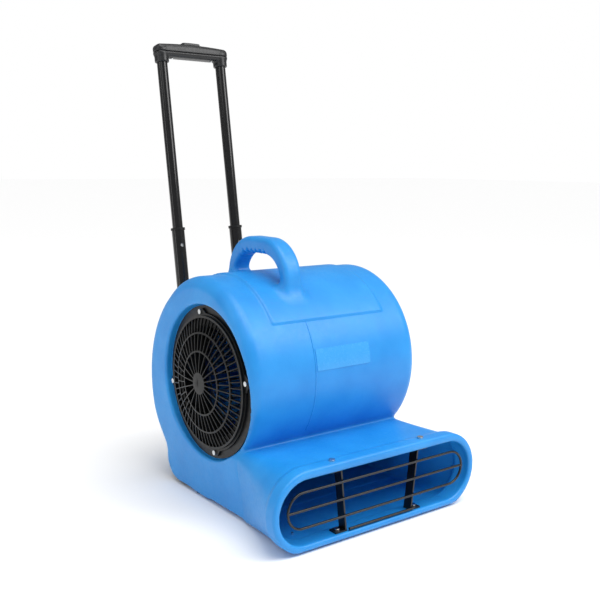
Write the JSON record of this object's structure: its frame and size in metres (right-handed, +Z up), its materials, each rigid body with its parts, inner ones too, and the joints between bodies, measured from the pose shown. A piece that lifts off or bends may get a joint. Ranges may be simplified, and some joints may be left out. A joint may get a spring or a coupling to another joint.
{
  "type": "floor air mover",
  "caption": "Floor air mover with a scroll-shaped moulded body, guarded side inlets, low wide outlet, carry handle, rear wheels and a telescoping trolley handle.",
  "frame": {"origin": "on the floor, under the centre of the overall bounding box, at rest with the handle drawn out", "axes": "+Z up; +X along the fan's axis, from the open inlet to the motor side; -Y is the blowing direction"},
  "size_m": [0.46, 0.6514, 0.8811],
  "materials": {
    "blue_polyethylene": "satin rotationally moulded skin, fine orange peel",
    "label_film": "smooth printed film, blank",
    "black_wire": "black coated wire, semi-gloss",
    "black_steel": "black coated sheet steel",
    "zinc_screws": "bright zinc plated",
    "black_plastic": "injection moulded, light texture",
    "black_gloss_plastic": "polished moulding",
    "galvanised_steel": "galvanised sheet, fine spangle",
    "machined_steel": "turned",
    "copper_winding": "varnished copper wire",
    "cast_aluminium": "die cast",
    "grey_plastic": "plain moulding",
    "black_rubber": "matt moulded rubber",
    "wheel_tyre": "matt rubber tread",
    "black_tube_enamel": "glossy black enamel",
    "grip_plastic": "soft-sheen moulding"
  },
  "bodies": {
    "body": {"housing": "blue_polyethylene", "blank_label": "label_film", "outlet_grille": "black_wire", "grille_strap_left": "black_steel", "grille_strap_right": "black_steel", "grille_screws": "zinc_screws", "inlet_ring_left": "black_plastic", "inlet_ring_right": "black_plastic", "inlet_guard_left": "black_plastic", "inlet_guard_right": "black_plastic", "guard_screws": "zinc_screws", "motor_stator": "copper_winding", "motor_can": "black_steel", "motor_end_inner": "cast_aluminium", "motor_end_outer": "cast_aluminium", "motor_bearings": "machined_steel", "motor_arms": "black_steel", "motor_bolts": "zinc_screws", "capacitor": "grey_plastic", "control_plate": "black_plastic", "switch_body": "black_plastic", "plate_screws": "zinc_screws", "cable_gland": "black_plastic", "rubber_feet": "black_rubber", "foot_screws": "zinc_screws", "wheel_axles": "machined_steel", "trolley_bracket_upper": "black_plastic", "trolley_bracket_lower": "black_plastic", "bracket_screws": "zinc_screws", "lower_tube_left": "black_tube_enamel", "lower_tube_right": "black_tube_enamel", "tube_collars": "black_plastic", "tube_plugs": "black_plastic"},
    "impeller": {"impeller_disc": "galvanised_steel", "impeller_rings": "galvanised_steel", "impeller_blades_left": "galvanised_steel", "impeller_blades_right": "galvanised_steel", "impeller_hub": "machined_steel", "hub_screw": "black_steel", "motor_shaft": "machined_steel", "motor_rotor": "machined_steel"},
    "handle": {"sliding_tube_left": "black_tube_enamel", "sliding_tube_right": "black_tube_enamel", "tube_guides": "grey_plastic", "lock_pins": "machined_steel", "grip_upper": "grip_plastic", "grip_lower": "grip_plastic", "grip_screws": "zinc_screws", "button_spring": "machined_steel"},
    "release": {"release_button": "grip_plastic", "release_yoke": "machined_steel", "release_rods": "machined_steel"},
    "knob": {"speed_knob": "black_gloss_plastic"},
    "left_wheel": {"wheel_left": "black_plastic", "tyre_left": "wheel_tyre"},
    "right_wheel": {"wheel_right": "black_plastic", "tyre_right": "wheel_tyre"}
  },
  "joints": [
    {"name": "impeller_spin", "type": "hinge", "parent": "body", "child": "impeller", "pos_m": [0, -0.05169, 0.233], "axis": [1, 0, 0], "continuous": true},
    {"name": "handle_slide", "type": "slide", "parent": "body", "child": "handle", "axis": [0, 0.1668, 0.986], "range_m": [-0.335, 0]},
    {"name": "release_press", "type": "slide", "parent": "handle", "child": "release", "axis": [0, -0.1668, -0.986], "range_m": [0, 0.004], "stiffness_N_per_m": 1500, "springref_m": -0.005, "deforming": ["button_spring"]},
    {"name": "knob_turn", "type": "hinge", "parent": "body", "child": "knob", "pos_m": [0.125, 0.11948, 0.34591], "axis": [0, 0.766, 0.6428], "range_deg": [-135, 0]},
    {"name": "left_wheel_spin", "type": "hinge", "parent": "body", "child": "left_wheel", "pos_m": [-0.1555, 0.07931, 0.0415], "axis": [1, 0, 0], "continuous": true},
    {"name": "right_wheel_spin", "type": "hinge", "parent": "body", "child": "right_wheel", "pos_m": [0.1555, 0.07931, 0.0415], "axis": [1, 0, 0], "continuous": true}
  ]
}
